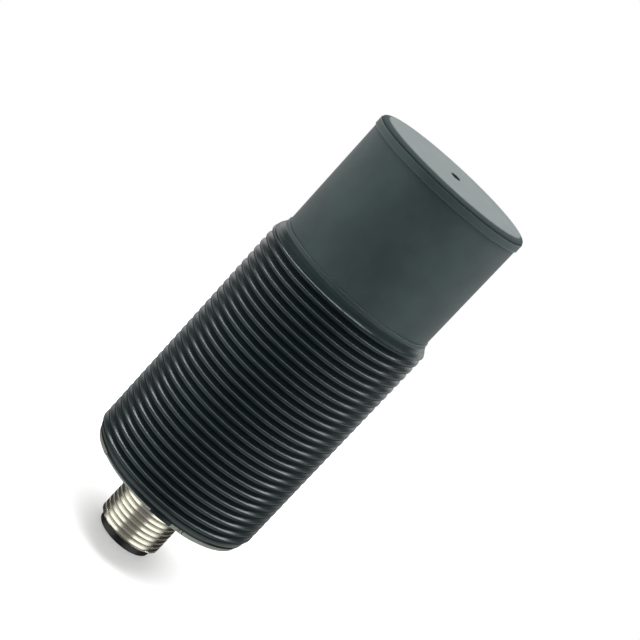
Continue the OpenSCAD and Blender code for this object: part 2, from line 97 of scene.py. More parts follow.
def mesh_from(bm, name):
    """Makes a mesh of a bmesh, which is freed."""
    mesh = bpy.data.meshes.new(name)
    bm.to_mesh(mesh)
    bm.free()
    return mesh


print("helpers for objects are ready")

# %% [markdown]
# The camera
#
# The portrait was taken with a long lens from a little above the sensing face, and the
# camera was rolled so that the sensor stands on the slant. The place, the tilt and the
# roll are real measures, and the three axes of the camera are built from them.

# %% Place the camera
PHOTO_SIDE_PX = 640
FOCAL_LENGTH_PX = 1730
SENSOR_WIDTH = 36
CAMERA_BACK = 270.2 * MM
CAMERA_ABOVE_FACE = 31.45 * MM
CAMERA_RIGHT = -0.33 * MM
LOOK_DOWN = math.radians(13.15)
ROLL = math.radians(42.84)

camera_data = bpy.data.cameras.new("portrait_camera")
camera_data.sensor_width = SENSOR_WIDTH
camera_data.lens = SENSOR_WIDTH * FOCAL_LENGTH_PX / PHOTO_SIDE_PX
camera_data.clip_start = 10 * MM
camera = add_object("portrait_camera", camera_data)
scene.camera = camera

level_right = Vector((1, 0, 0))
level_up = Vector((0, math.sin(LOOK_DOWN), math.cos(LOOK_DOWN)))
right = math.cos(ROLL) * level_right + math.sin(ROLL) * level_up
up = math.cos(ROLL) * level_up - math.sin(ROLL) * level_right
turn = Matrix((right, up, right.cross(up))).transposed().to_4x4()
camera.matrix_world = Matrix.Translation((CAMERA_RIGHT, -CAMERA_BACK, CAMERA_ABOVE_FACE)) @ turn
print("lens, mm:", round(camera_data.lens, 2))

# %% [markdown]
# Helpers for nodes
#
# Shaders are written here as small sums, so a few helpers keep them readable: one feeds a
# socket, one makes a node with everything that goes into it, and the others are the sum,
# the soft ramp, the mix and the noise that come up again and again. Each of them finds its
# tree from the socket that it is given.

# %% Helpers for nodes
WHITE = (1, 1, 1, 1)


def feed(socket, value):
    """Gives a socket a value, or links another socket to it."""
    if isinstance(value, bpy.types.NodeSocket):
        socket.id_data.links.new(value, socket)
    elif value is not None:
        socket.default_value = value


def new_node(tree, kind, inputs=None, **settings):
    """The outputs of a new shader node. Inputs go by name or number, to values or sockets."""
    node = tree.nodes.new("ShaderNode" + kind)
    for name, value in settings.items():
        setattr(node, name, value)
    for name, value in (inputs or {}).items():
        feed(node.inputs[name], value)
    return node.outputs


def math_node(operation, a, b=None, clamp=False):
    """A math node in the tree of its first operand. The second is a number or a socket."""
    return new_node(a.id_data, "Math", {0: a, 1: b}, operation=operation, use_clamp=clamp)[0]


def times(*factors):
    """The product of several sockets, of which the last may be a number."""
    product = factors[0]
    for factor in factors[1:]:
        product = math_node("MULTIPLY", product, factor)
    return product


def ramp(value, low, high):
    """Rises smoothly from 0 at low to 1 at high."""
    inputs = {"Value": value, "From Min": low, "From Max": high}
    return new_node(value.id_data, "MapRange", inputs, interpolation_type="SMOOTHSTEP")["Result"]


def blend_values(factor, low, high):
    """A number between two others."""
    inputs = {"Factor": factor, "A": low, "B": high}
    return new_node(factor.id_data, "Mix", inputs)["Result"]


def ray_kinds(tree):
    """The kinds of ray, and 1 for rays that come straight from the camera or through something."""
    kinds = new_node(tree, "LightPath")
    return kinds, math_node("MAXIMUM", kinds["Is Camera Ray"], kinds["Is Transmission Ray"])


def empty_tree(owner):
    """The cleared node tree of a material or a world."""
    owner.use_nodes = True
    owner.node_tree.nodes.clear()
    return owner.node_tree


def millimetres(tree):
    """The object's own coordinates, in millimetres."""
    inputs = {0: new_node(tree, "TexCoord")["Object"], "Scale": 1 / MM}
    return new_node(tree, "VectorMath", inputs, operation="SCALE")["Vector"]


def noise(vector, size, detail=2.0, roughness=0.5):
    """Noise whose bumps are about size wide, in the units of the vector."""
    tree = vector.id_data
    if isinstance(size, float):
        scale = 1 / size
    else:
        scale = new_node(tree, "Math", {0: 1.0, 1: size}, operation="DIVIDE")[0]
    inputs = {"Vector": vector, "Scale": scale, "Detail": detail, "Roughness": roughness}
    return new_node(tree, "TexNoise", inputs)["Fac"]


print("helpers for nodes are ready")

# %% [markdown]
# The room that the sensor mirrors
#
# Black plastic shows its shape by what it mirrors, and so does the plated metal. The world
# is therefore a room. It is dim behind the camera, overhead and on the floor, its side walls
# are light, low down they are lighter still, and a glow lies along the back wall just above
# eye level. Reflections see that room. The camera, and whatever is seen through, get plain
# white instead. For the light that falls on the sensor the room is one even grey, so a
# colour renders as it is mixed. Each part of the room is a product of soft ramps along the
# three axes of the direction, which run from -1 to 1.

# %% Build the world
AMBIENT = 0.85
DARK = 0.03
DIM = 0.17
LOW_FRONT = 0.25
LIGHT_WALL = 0.92
RIGHT_SHARE = 0.92
LOW_LIGHT = 1.2
BACK_GLOW = 0.56

world = bpy.data.worlds.new("studio")
scene.world = world
sky = empty_tree(world)
direction = new_node(sky, "TexCoord")["Generated"]
x, y, z = new_node(sky, "SeparateXYZ", {"Vector": direction})
beside = math_node("ABSOLUTE", x)
under = times(z, -1)


def between(low, high, share):
    """Low where the share is 0, high where it is 1."""
    return math_node("ADD", times(share, high - low), low)


def fades(value, low, high, rest=0.0):
    """Falls softly from 1 at low to rest at high."""
    return between(1.0, rest, ramp(value, low, high))


walls = times(
    between(DIM, LIGHT_WALL, ramp(y, -1.15, -0.2)),
    fades(y, 0.2, 0.9, 0.5),
    fades(z, 0.12, 0.35, 0.12),
    fades(under, 0.2, 0.3),
    fades(x, -0.4, 0.4, RIGHT_SHARE),
)
low_sides = times(ramp(beside, 0.3, 0.5), fades(y, -0.25, 0.3), fades(under, 0.6, 0.9, 0.4))
low_front = times(fades(y, -0.3, 0.3), fades(under, 0.5, 0.75))
low_light = between(0.0, LOW_LIGHT - DIM, low_sides)
low_room = math_node("ADD", low_light, between(DARK, LOW_FRONT, low_front))
low_room = times(low_room, ramp(under, 0.28, 0.36))
glow = times(ramp(y, 0.4, 0.9), ramp(z, -0.06, 0.06), fades(z, 0.15, 0.32))
room = math_node("ADD", math_node("ADD", walls, low_room), between(0.0, BACK_GLOW, glow))
kinds, straight = ray_kinds(sky)
seen = math_node("MAXIMUM", straight, kinds["Is Glossy Ray"])
strength = blend_values(seen, AMBIENT, blend_values(straight, room, 1.0))
background = new_node(sky, "Background", {"Color": WHITE, "Strength": strength})
new_node(sky, "OutputWorld", {"Surface": background[0]})
print("world nodes:", len(sky.nodes))

# %% [markdown]
# Soft boxes
#
# Four soft boxes give the room its highlights. The one above and the long ones that lean
# beside it draw the fine line on every crest of the thread, all the way round, and the one
# at the back lights the edge of the sensing face. Each is given by its brightness, which is
# what a reflection shows, and the power follows from its size. The long side of a box lies
# along a direction of its own.

# %% Hang the soft boxes
LIT_POINT = Vector((0, 0, z_lip / 2))
LAMP_DISTANCE = 0.5


def soft_box(name, width, height, brightness, azimuth, elevation, along=(1, 0, 0)):
    """A lamp that looks at the middle of the sensor. Azimuth 0 is the camera's side."""
    data = bpy.data.lights.new(name, "AREA")
    data.shape = "RECTANGLE"
    data.size = width
    data.size_y = height
    data.energy = brightness * math.pi * width * height
    lamp = add_object(name, data)
    a, e = math.radians(azimuth), math.radians(elevation)
    away = Vector((math.sin(a) * math.cos(e), -math.cos(a) * math.cos(e), math.sin(e)))
    short_side = away.cross(Vector(along)).normalized()
    sides = Matrix((short_side.cross(away), short_side, away)).transposed()
    lamp.rotation_mode = "QUATERNION"
    lamp.rotation_quaternion = sides.to_quaternion()
    lamp.location = LIT_POINT + LAMP_DISTANCE * away


soft_box("upper_box", 0.4, 0.16, 8.0, 0, 81)
soft_box("left_box", 0.36, 0.14, 10.5, -110, 53, along=(-0.29, 0.81, -0.51))
soft_box("right_box", 0.36, 0.14, 9.0, 110, 53, along=(0.29, 0.81, -0.51))
soft_box("back_box", 0.4, 0.12, 1.5, 180, 28)

# %% [markdown]
# The floor
#
# The floor is a pale round table under the connector. For the light that it throws
# back up it is grey, so the thread keeps its dark grooves. The camera sees it nearly white,
# with the soft shadow kept, and further out it turns into the white of the world. It is
# clear for reflections, so that the metal mirrors the room's low walls and not a sheet close
# under it, and clear from below, so that the connector's end can be looked at too.

# %% Lay the floor
FLOOR_R = 0.3
FLOOR_GREY = 0.15
FLOOR_WHITE = 0.75
FLOOR_LIFT = 0.25
MELTS_FROM = 0.1
MELTS_TO = 0.24

floor_bm = bmesh.new()
bmesh.ops.create_circle(floor_bm, cap_ends=True, segments=96, radius=FLOOR_R)
bmesh.ops.translate(floor_bm, verts=floor_bm.verts, vec=(0, 0, z_lip))
floor = add_object("floor", mesh_from(floor_bm, "floor"))
floor_paint = bpy.data.materials.new("floor_paint")
tree = empty_tree(floor_paint)


def matt(level):
    """A matt grey shader."""
    return new_node(tree, "BsdfDiffuse", {"Color": (level, level, level, 1)})[0]


def blend_shaders(factor, low, high):
    """A shader between two others."""
    return new_node(tree, "MixShader", {"Fac": factor, 1: low, 2: high})[0]


kinds, straight = ray_kinds(tree)
place = new_node(tree, "TexCoord")["Object"]
from_middle = new_node(tree, "VectorMath", {0: place}, operation="LENGTH")["Value"]
glow = new_node(tree, "Emission", {"Strength": FLOOR_LIFT})[0]
lifted = new_node(tree, "AddShader", {0: matt(FLOOR_WHITE), 1: glow})[0]
backdrop = new_node(tree, "Emission")[0]
melted = blend_shaders(ramp(from_middle, MELTS_FROM, MELTS_TO), lifted, backdrop)
by_ray = blend_shaders(straight, matt(FLOOR_GREY), melted)
from_below = new_node(tree, "NewGeometry")["Backfacing"]
open_to = math_node("MAXIMUM", from_below, kinds["Is Glossy Ray"])
clear = new_node(tree, "BsdfTransparent")[0]
new_node(tree, "OutputMaterial", {"Surface": blend_shaders(open_to, by_ray, clear)})
floor.data.materials.append(floor_paint)
print("floor level, mm:", round(z_lip / MM, 3))

# %% [markdown]
# Effects that several finishes share
#
# Real surfaces are never one flat value. Moulded plastic has the grain of its mould and
# faint flow marks, edges are painted paler, which is partly wear and partly a painted
# highlight on the thread's crests, the roots of grooves are painted darker, which is
# painted shade, and turned metal has fine rings. Each effect is a node group with named
# sockets, made once and put into every finish that needs it with other values. All of them
# read the object's own coordinates, so nothing slides when the camera or a joint moves.

# %% Helper for node groups
def new_group(name, inputs, outputs):
    """An empty group of numbers, from names with their values to names."""
    group = bpy.data.node_groups.new(name, "ShaderNodeTree")
    for label, value in inputs.items():
        socket = group.interface.new_socket(label, in_out="INPUT", socket_type="NodeSocketFloat")
        socket.default_value = value
    for label in outputs:
        group.interface.new_socket(label, in_out="OUTPUT", socket_type="NodeSocketFloat")
    given = group.nodes.new("NodeGroupInput").outputs
    return group, given, group.nodes.new("NodeGroupOutput").inputs


print("helper for node groups is ready")

# %% Group: mould grain
grain_group, given, result = new_group("mould_grain", {"Size": 0.2}, ("Height", "Mottle"))
place = millimetres(grain_group)
feed(result["Height"], noise(place, given["Size"], detail=3.0))
broad = noise(place, 6.0, detail=4.0, roughness=0.6)
feed(result["Mottle"], ramp(broad, 0.3, 0.7))
print("made", grain_group.name)

# %% Group: worn edges, painted highlight and painted shade
wear_and_painted_light_group, given, result = new_group("worn_edges_and_painted_light", {"Start": 0.52, "End": 0.6}, ("Mask", "Shaded_roots"))
pointiness = new_node(wear_and_painted_light_group, "NewGeometry")["Pointiness"]
edge = ramp(pointiness, given["Start"], given["End"])
patches = noise(millimetres(wear_and_painted_light_group), 1.5, detail=5.0, roughness=0.7)
broken = math_node("ADD", times(patches, 0.8), 0.5, True)
# The first output marks convex edges, which finishes paint paler, partly as wear and partly as a
# painted highlight.
feed(result["Mask"], times(edge, broken))
# The second output marks hollows such as thread roots, which finishes paint darker as painted shade.
feed(result["Shaded_roots"], ramp(pointiness, 0.49, 0.42))
print("made", wear_and_painted_light_group.name)

# %% Group: rings of a lathe
lathe_group, given, result = new_group("lathe_rings", {"Spacing": 0.08}, ("Height", "Streak"))
x, y, z = new_node(lathe_group, "SeparateXYZ", {"Vector": millimetres(lathe_group)})
squares = [math_node("POWER", side, 2) for side in (x, y)]
across = math_node("SQRT", math_node("ADD", *squares))
section = new_node(lathe_group, "CombineXYZ", {"X": across, "Z": z})["Vector"]
feed(result["Height"], noise(section, given["Spacing"]))
feed(result["Streak"], noise(section, 0.5, detail=4.0, roughness=0.7))
print("made", lathe_group.name)

# %% Group: dust and handling marks
dust_group, given, result = new_group("dust_and_marks", {"Amount": 0.3}, ("Specks", "Smudge"))
place = millimetres(dust_group)
specks = ramp(noise(place, 0.35, detail=1.0), 0.74, 0.8)
smudge = ramp(noise(place, 9.0, detail=5.0, roughness=0.65), 0.45, 0.75)
feed(result["Specks"], times(specks, given["Amount"]))
feed(result["Smudge"], times(smudge, given["Amount"]))
print("made", dust_group.name)

# %% [markdown]
# Plastic
#
# The cap and the barrel are moulded from the same kind of black engineering plastic, a
# little green in its black. The colour moves between two close shades with the flow marks,
# the roughness follows the smudges, and a shallow bump gives the skin of a spark-eroded
# mould. The edges are painted a shade paler, partly as wear and partly as a painted
# highlight that draws the thread's crests, and the roots of the grooves are painted darker,
# which is painted shade. One function makes every plastic here, because only the numbers
# differ.

# %% The plastic recipe
finishes = {}


def start_finish(slot):
    """A new finish under the record's slot name. Gives the tree and the shader's sockets."""
    finishes[slot] = bpy.data.materials.new(slot)
    tree = empty_tree(finishes[slot])
    shader = tree.nodes.new("ShaderNodeBsdfPrincipled")
    new_node(tree, "OutputMaterial", {"Surface": shader.outputs["BSDF"]})
    return tree, shader.inputs


def use_group(tree, group, **values):
    """Puts a group into a material with its own values. Gives its outputs."""
    return new_node(tree, "Group", values, node_tree=group)


def blend_colours(factor, low, high):
    """A colour between two others. Low and high are colours or sockets."""
    low, high = ((*c, 1) if isinstance(c, tuple) else c for c in (low, high))
    inputs = {0: factor, 6: low, 7: high}
    return new_node(factor.id_data, "Mix", inputs, data_type="RGBA")[2]


def raise_skin(look, height, depth):
    """Feeds a bump of a real depth into the shader."""
    inputs = {"Strength": 1.0, "Distance": depth, "Height": height}
    feed(look["Normal"], new_node(height.id_data, "Bump", inputs)["Normal"])


def shade(colour, factor):
    """The same hue, lighter or darker."""
    return tuple(min(1.0, c * factor) for c in colour)


def plastic(
    slot, colour, roughness, grain=0.2, depth=0.004, wear_and_highlight=1.6, dust=0.25, root_shade=0.6, shine=WHITE
):
    """A moulded plastic. Sizes are in millimetres. The edge and root factors are shades of the
    colour: paler edges, partly wear and partly painted highlight, and darker roots, which are painted
    shade.
    """
    tree, look = start_finish(slot)
    skin = use_group(tree, grain_group, Size=grain)
    marks = use_group(tree, dust_group, Amount=dust)
    edges = use_group(tree, wear_and_painted_light_group)
    flow = blend_colours(skin["Mottle"], shade(colour, 0.9), shade(colour, 1.12))
    # Painted highlight and wear: the edges take a paler shade of the colour, which draws the thread's
    # crests.
    worn_and_lit_plastic = blend_colours(edges["Mask"], flow, shade(colour, wear_and_highlight))
    dusty = blend_colours(marks["Specks"], worn_and_lit_plastic, shade(colour, 2.2))
    # Painted shade: the roots of the grooves take a darker shade of the colour.
    feed(look["Base Color"], blend_colours(edges["Shaded_roots"], dusty, shade(colour, root_shade)))
    feed(look["Roughness"], blend_values(marks["Smudge"], roughness, roughness + 0.12))
    feed(look["Specular Tint"], shine)
    raise_skin(look, skin["Height"], depth * MM)
    return look


print("plastic recipe is ready")

# %% Mix the plastics
GREEN_BLACK = (0.82, 0.97, 1.0, 1)
CAP_COLOUR = (0.037, 0.056, 0.055)
BARREL_COLOUR = (0.011, 0.0175, 0.0185)
plastic("cap_plastic", CAP_COLOUR, 0.34, grain=0.25, depth=0.006, wear_and_highlight=1.1, shine=GREEN_BLACK)
plastic("barrel_plastic", BARREL_COLOUR, 0.23, depth=0.002, wear_and_highlight=2.2, root_shade=0.3, shine=GREEN_BLACK)
plastic("carrier_plastic", (0.005, 0.006, 0.006), 0.32, grain=0.15, depth=0.003)
plastic("seal_rubber", (0.016, 0.016, 0.016), 0.62, grain=0.12, depth=0.006)
plastic("ivory_plastic", (0.66, 0.62, 0.52), 0.42, wear_and_highlight=1.1)
plastic("support_plastic", (0.07, 0.07, 0.07), 0.5)
plastic("chip_plastic", (0.018, 0.018, 0.020), 0.55, grain=0.08, depth=0.004)
plastic("insulator", (0.55, 0.33, 0.10), 0.35, wear_and_highlight=1.2)
plastic("ceramic", (0.42, 0.30, 0.18), 0.5, grain=0.1, wear_and_highlight=1.2)
plastic("trimmer_case", (0.025, 0.09, 0.30), 0.4, wear_and_highlight=1.5)
print("plastics:", sorted(finishes))

# %% [markdown]
# Bands with another finish
#
# A mould isn't equally smooth everywhere. Three bands get a colour and a roughness of
# their own. The collar has the cap's matt skin, while the thread under it is polished, so
# that the part can be turned out of its mould. The edge of the sensing face is made matt
# and painted darker, which is painted shade. The chamfer at the top of the barrel's end
# land is painted pale, which is a painted highlight. Each band follows the level along the
# axis.

# %% Refinish the bands
def refinish(name, top, bottom, fade, colour, roughness):
    """Another colour and roughness between two levels, which are in millimetres."""
    tree = finishes[name].node_tree
    look = next(n for n in tree.nodes if n.type == "BSDF_PRINCIPLED").inputs
    z = new_node(tree, "SeparateXYZ", {"Vector": millimetres(tree)})["Z"]
    band = times(ramp(z, top + fade, top), ramp(z, bottom - fade, bottom))
    for label, blend, wanted in (
        ("Base Color", blend_colours, colour),
        ("Roughness", blend_values, roughness),
    ):
        feed(look[label], blend(band, look[label].links[0].from_socket, wanted))
    print(name, "band, mm:", round(top, 2), round(bottom, 2))


refinish("barrel_plastic", 1.0, z_collar / MM - 0.5, 0.3, (0.031, 0.047, 0.047), 0.36)
# Painted highlight: the chamfer at the top of the end land is painted pale.
refinish("barrel_plastic", z_rear / MM + 1.75, z_rear / MM + 1.47, 0.12, (0.1, 0.115, 0.115), 0.5)
# Painted shade: the rolled edge of the sensing face is painted darker, and made matt.
refinish("cap_plastic", -0.14, -0.75, 0.1, (0.012, 0.02, 0.02), 0.9)

# %% [markdown]
# The rear cap and the lamps
#
# The rear cap is a cloudy, faintly green plastic that lets light through without showing
# what is behind it. Subsurface scattering over about a millimetre does that: light goes
# in, spreads and comes out next to where it went in. The lamps are the same with a tint.

# %% Mix the translucent plastics
SCATTER_MM = (0.9, 1.0, 0.85)


def cloudy_plastic(slot, colour, roughness, scatter):
    """A translucent moulded plastic. Scatter is the share of light that spreads inside."""
    look = plastic(slot, colour, roughness, wear_and_highlight=1.15, dust=0.35)
    feed(look["Subsurface Weight"], scatter)
    feed(look["Subsurface Radius"], SCATTER_MM)
    feed(look["Subsurface Scale"], MM)


cloudy_plastic("clear_plastic", (0.42, 0.46, 0.40), 0.36, 0.6)
cloudy_plastic("lamp_yellow", (0.85, 0.55, 0.08), 0.2, 0.4)
cloudy_plastic("lamp_green", (0.20, 0.70, 0.24), 0.2, 0.4)
print("plastics with the translucent ones:", len(finishes))

# %% [markdown]
# Metal
#
# The connector is turned from brass and nickel plated, which leaves it warm and a little
# dull, with the rings of the turning tool still in it. A metal has no colour of its own
# under its shine: the base colour tints the reflection, and the streaks of the lathe darken
# it from ring to ring. Smudges take off its sharpness. The edges are painted a little
# brighter, partly as wear and partly as a painted highlight, and the roots of the thread
# are painted darker, which is painted shade.

# %% The metal recipe
# Painted shade: the dark colour that the roots of the thread are painted with.
ROOT_SHADE_COLOUR = (0.10, 0.10, 0.09)


def metal(slot, colour, roughness, depth=0.003, dull=0.7):
    """A turned or drawn metal. Dull is the shade of the colour in its darker streaks."""
    tree, look = start_finish(slot)
    turned = use_group(tree, lathe_group)
    marks = use_group(tree, dust_group, Amount=0.5)
    edges = use_group(tree, wear_and_painted_light_group, Start=0.5, End=0.58)
    streaked = blend_colours(turned["Streak"], shade(colour, dull), colour)
    # The edges are painted brighter, partly as wear and partly as a painted highlight.
    metal_worn_and_lit = blend_colours(edges["Mask"], streaked, shade(colour, 1.15))
    # Painted shade: the roots are painted towards a dark colour.
    root_shade = times(edges["Shaded_roots"], 0.6)
    feed(look["Base Color"], blend_colours(root_shade, metal_worn_and_lit, ROOT_SHADE_COLOUR))
    feed(look["Roughness"], blend_values(marks["Smudge"], roughness, roughness + 0.15))
    feed(look["Metallic"], 1.0)
    raise_skin(look, turned["Height"], depth * MM)


metal("nickel", (0.92, 0.88, 0.74), 0.16, depth=0.0008, dull=0.9)
metal("gold", (0.86, 0.62, 0.25), 0.2)
metal("electrode_brass", (0.75, 0.52, 0.24), 0.3)
metal("shield_metal", (0.62, 0.58, 0.48), 0.35)
metal("lead_metal", (0.78, 0.77, 0.74), 0.28)
metal("screw_brass", (0.72, 0.52, 0.25), 0.3)
print("finishes with the metals:", len(finishes))

# %% [markdown]
# The circuit boards
#
# A board is glass-fibre laminate under green solder resist. The weave shows faintly as a
# fine check of bumps, and the copper tracks under the resist make it lighter in patches.
# Two crossed waves make the weave, and a stepped noise stands for the copper.

# %% The board finish
WEAVE_PER_MM = 2.2
RESIST_GREEN = (0.006, 0.075, 0.030)
COPPER_GREEN = (0.020, 0.150, 0.055)
tree, look = start_finish("board")
place = millimetres(tree)
waves = [
    new_node(tree, "TexWave", {"Scale": WEAVE_PER_MM, "Vector": place}, bands_direction=axis)
    for axis in ("X", "Z")
]
crossed = times(*(wave["Fac"] for wave in waves))
copper = ramp(noise(place, 2.5, detail=0.0), 0.5, 0.52)
feed(look["Base Color"], blend_colours(copper, RESIST_GREEN, COPPER_GREEN))
feed(look["Roughness"], blend_values(crossed, 0.32, 0.45))
raise_skin(look, crossed, 0.005 * MM)

# %% [markdown]
# Round pieces
#
# Nearly every piece of this sensor is round, so it is made as a turner makes it: the
# outline of one half section, spun once about the axis. A closed outline gives a solid
# with its inside. Points on the axis meet in one vertex when the doubles are merged. Where
# a corner shows, a bevel on the whole ring of edges then rounds it, because no moulded or
# turned corner is truly sharp, and it is these small roundings that catch the light.

# %% Spin and round
AROUND = 144
SAME = 0.0005 * MM
ABOUT_AXIS = {"cent": (0, 0, 0), "axis": (0, 0, 1)}
HOLD_GAP = 0.35 * MM
FINE_EDGE = 0.04 * MM
SOFT_EDGE = 0.15 * MM


def neighbours(items, closed=False):
    """Each item with the next one, and the last with the first if closed."""
    return zip(items, items[1:] + (items[:1] if closed else []))


def hold_corners(points, closed):
    """Adds two points near both ends of each long line, which keep what happens there local."""
    held = []
    for a, b in neighbours(points, closed):
        held.append(a)
        length = math.dist(a, b)
        straight_down = length > 2 * HOLD_GAP and abs(a[0] - b[0]) < 0.1 * length
        if (length > 4.5 * HOLD_GAP or straight_down) and max(a[0], b[0]) > 0:
            near = min(HOLD_GAP / length, 0.2)
            for share in (near, 2 * near, 0.5, 1 - 2 * near, 1 - near):
                held.append(tuple(p + share * (q - p) for p, q in zip(a, b)))
    return held if closed else [*held, points[-1]]


def chain(bm, points, closed=False):
    """Vertices and edges through (radius, level) points, on the camera's side of the axis."""
    verts = [bm.verts.new((0, -r, z)) for r, z in points]
    off_axis = [pair for pair in neighbours(verts, closed) if any(v.co.y for v in pair)]
    return verts + [bm.edges.new(pair) for pair in off_axis]


def spin_outline(points, closed=True, steps=AROUND):
    """A bmesh turned about the axis from the points of a half section."""
    bm = bmesh.new()
    line = chain(bm, hold_corners(points, closed), closed)
    bmesh.ops.spin(bm, geom=line, angle=math.tau, steps=steps, use_merge=True, **ABOUT_AXIS)
    bmesh.ops.remove_doubles(bm, verts=bm.verts, dist=SAME)
    bmesh.ops.recalc_face_normals(bm, faces=bm.faces)
    return bm


def radius(vert):
    """Distance of a vertex from the axis."""
    return math.hypot(vert.co.x, vert.co.y)


def round_ring(bm, r, z, width, segments=3):
    """Rounds the circular edge at one radius and level."""
    near = 0.01 * MM
    ring = [
        e for e in bm.edges
        if all(abs(radius(v) - r) < near and abs(v.co.z - z) < near for v in e.verts)
    ]
    shape = {"offset": width, "segments": segments, "profile": 0.5, "clamp_overlap": True}
    bmesh.ops.bevel(bm, geom=ring, affect="EDGES", material=-1, **shape)


def finish_piece(bm, name, slot, node, body="housing", sharp=40):
    """Turns a bmesh into a piece that stands for its node, with its finish and its body."""
    open_edges = sum(not e.is_manifold for e in bm.edges)
    mesh = mesh_from(bm, name)
    mesh.polygons.foreach_set("use_smooth", [True] * len(mesh.polygons))
    mesh.set_sharp_from_angle(angle=math.radians(sharp))
    mesh.materials.append(finishes[slot])
    piece = add_object(name, mesh)
    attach(piece, body)
    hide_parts(node)
    triangles = sum(len(p.vertices) - 2 for p in mesh.polygons)
    print(name, "triangles:", triangles, "open edges:", open_edges)


def arc(centre, r, start, end, count):
    """Points on a circle in the half section, angles in degrees from straight outwards."""
    steps = [math.radians(start + (end - start) * i / (count - 1)) for i in range(count)]
    return [(centre[0] + r * math.cos(a), centre[1] + r * math.sin(a)) for a in steps]


print("steps around the axis:", AROUND)

# %% [markdown]
# The front cap
#
# The cap is a cup, closed at the sensing face. The face rolls over softly into its edge,
# which ends in a fine groove, and under it a low rim stands out from the wall. At the
# rim's lower edge the two halves of the mould have left a hair-fine lip. The wall widens
# very slightly towards the rim, because the part has to leave its mould. In the middle of the
# face is the oblong dimple where the plastic was let in, with the stub of the cut gate
# low inside it.

# %% Model the front cap
CAP_WALL = 1.5 * MM
CAP_TAPER = 0.07 * MM
RIM_STEP = 0.19 * MM
EDGE_WIDTH = 1.75 * MM
EDGE_HEIGHT = 0.72 * MM
LEDGE = 0.13 * MM
GROOVE_DEPTH = 0.05 * MM
GROOVE_TOP = 0.04 * MM
GROOVE_FOOT = 0.09 * MM
RIM_TOP = 0.1 * MM
RIM_BREAK_WIDTH = 0.02 * MM
RIM_BREAK_HEIGHT = 0.03 * MM
Z_PARTING = -2.1 * MM
LIP = 0.06 * MM
DIMPLE_R = 0.925 * MM
DIMPLE_LONG = 1.9
DIMPLE_FADES_R = 6 * MM
DIMPLE_DEPTH = 0.6 * MM
STUB_R = 0.6 * MM
STUB_TOP = -0.3 * MM
OVER_FACE = 0.1 * MM

cap_r = rim_r - RIM_STEP - CAP_TAPER
wall_r = cap_r + CAP_TAPER
edge_r = rim_r - LEDGE
edge_curve = [
    (edge_r - EDGE_WIDTH * (1 - x), -EDGE_HEIGHT * (1 - z))
    for x, z in reversed(arc((0, 0), 1, 0, 90, 15))
]
z_groove = edge_curve[-1][1]

cap_outline = [
    (0, -CAP_WALL),
    (0, STUB_TOP),
    (STUB_R, 1.2 * STUB_TOP),
    (STUB_R, -DIMPLE_DEPTH),
    (DIMPLE_R, -DIMPLE_DEPTH),
    (DIMPLE_R, 0),
    *edge_curve,
    (edge_r - GROOVE_DEPTH, z_groove - GROOVE_TOP),
    (edge_r - GROOVE_DEPTH, z_groove - GROOVE_FOOT),
    (rim_r - RIM_BREAK_WIDTH, z_groove - RIM_TOP),
    (rim_r, z_groove - RIM_TOP - RIM_BREAK_HEIGHT),
    (rim_r, Z_PARTING + LIP),
    (rim_r + 0.5 * LIP, Z_PARTING + 0.2 * LIP),
    (rim_r + 0.4 * LIP, Z_PARTING),
    (wall_r, Z_PARTING - 0.5 * LIP),
    (cap_r, z_collar),
    (cap_r - CAP_WALL, z_collar),
    (cap_r - CAP_WALL, -CAP_WALL),
]
cap_bm = spin_outline(cap_outline)
round_ring(cap_bm, DIMPLE_R, 0, FINE_EDGE)
round_ring(cap_bm, cap_r, z_collar, FINE_EDGE)
for v in cap_bm.verts:
    share = min(1, (DIMPLE_FADES_R - radius(v)) / (DIMPLE_FADES_R - DIMPLE_R))
    if share > 0 and v.co.z > -CAP_WALL + OVER_FACE:
        v.co.y *= 1 + (DIMPLE_LONG - 1) * share**2
finish_piece(cap_bm, "front_cap_moulding", "cap_plastic", "front_cap", sharp=50)

# %% [markdown]
# A true thread
#
# The frame's thread is a row of separate ridges, which is enough for the construction,
# but on the real barrel it is one helix. A spin can climb while it turns: each step also
# moves up by a share of the pitch, so after one turn the outline has risen by one ridge
# and meets itself. Merging the doubles closes it into an endless thread. It is made too
# long, cut at every level where an envelope bends, of which the first and the last take
# away what is too long, and pressed between the two envelopes. So it grows out of the plain
# ends the way a tool or a mould makes it.

# %% Helpers for the thread
DEPTH_PER_PITCH = 0.6134


def ridge_outline(crest_r, pitch, z_crest, crest_half, corner):
    """One ridge and the groove below it. Crest_half is half the crest's width."""
    slope = math.tan(math.radians(30))
    root_round = pitch / 20
    bottom_r = crest_r - (pitch / 2 - crest_half) / slope + root_round
    off_middle = crest_half - corner * slope
    upper = arc((crest_r - corner, z_crest + off_middle), corner, 60, 0, 4)
    lower = arc((crest_r - corner, z_crest - off_middle), corner, 0, -60, 4)
    root = arc((bottom_r + root_round, z_crest - pitch / 2), root_round, 120, 240, 3)
    return upper + lower + root


def along_axis(z, knots):
    """The value at a level, from (level, value) knots that go down the axis."""
    for (z_high, high), (z_low, low) in neighbours(knots):
        if z >= z_low:
            share = min(1.0, max(0.0, (z_high - z) / (z_high - z_low)))
            return high + share * (low - high)
    return knots[-1][1]


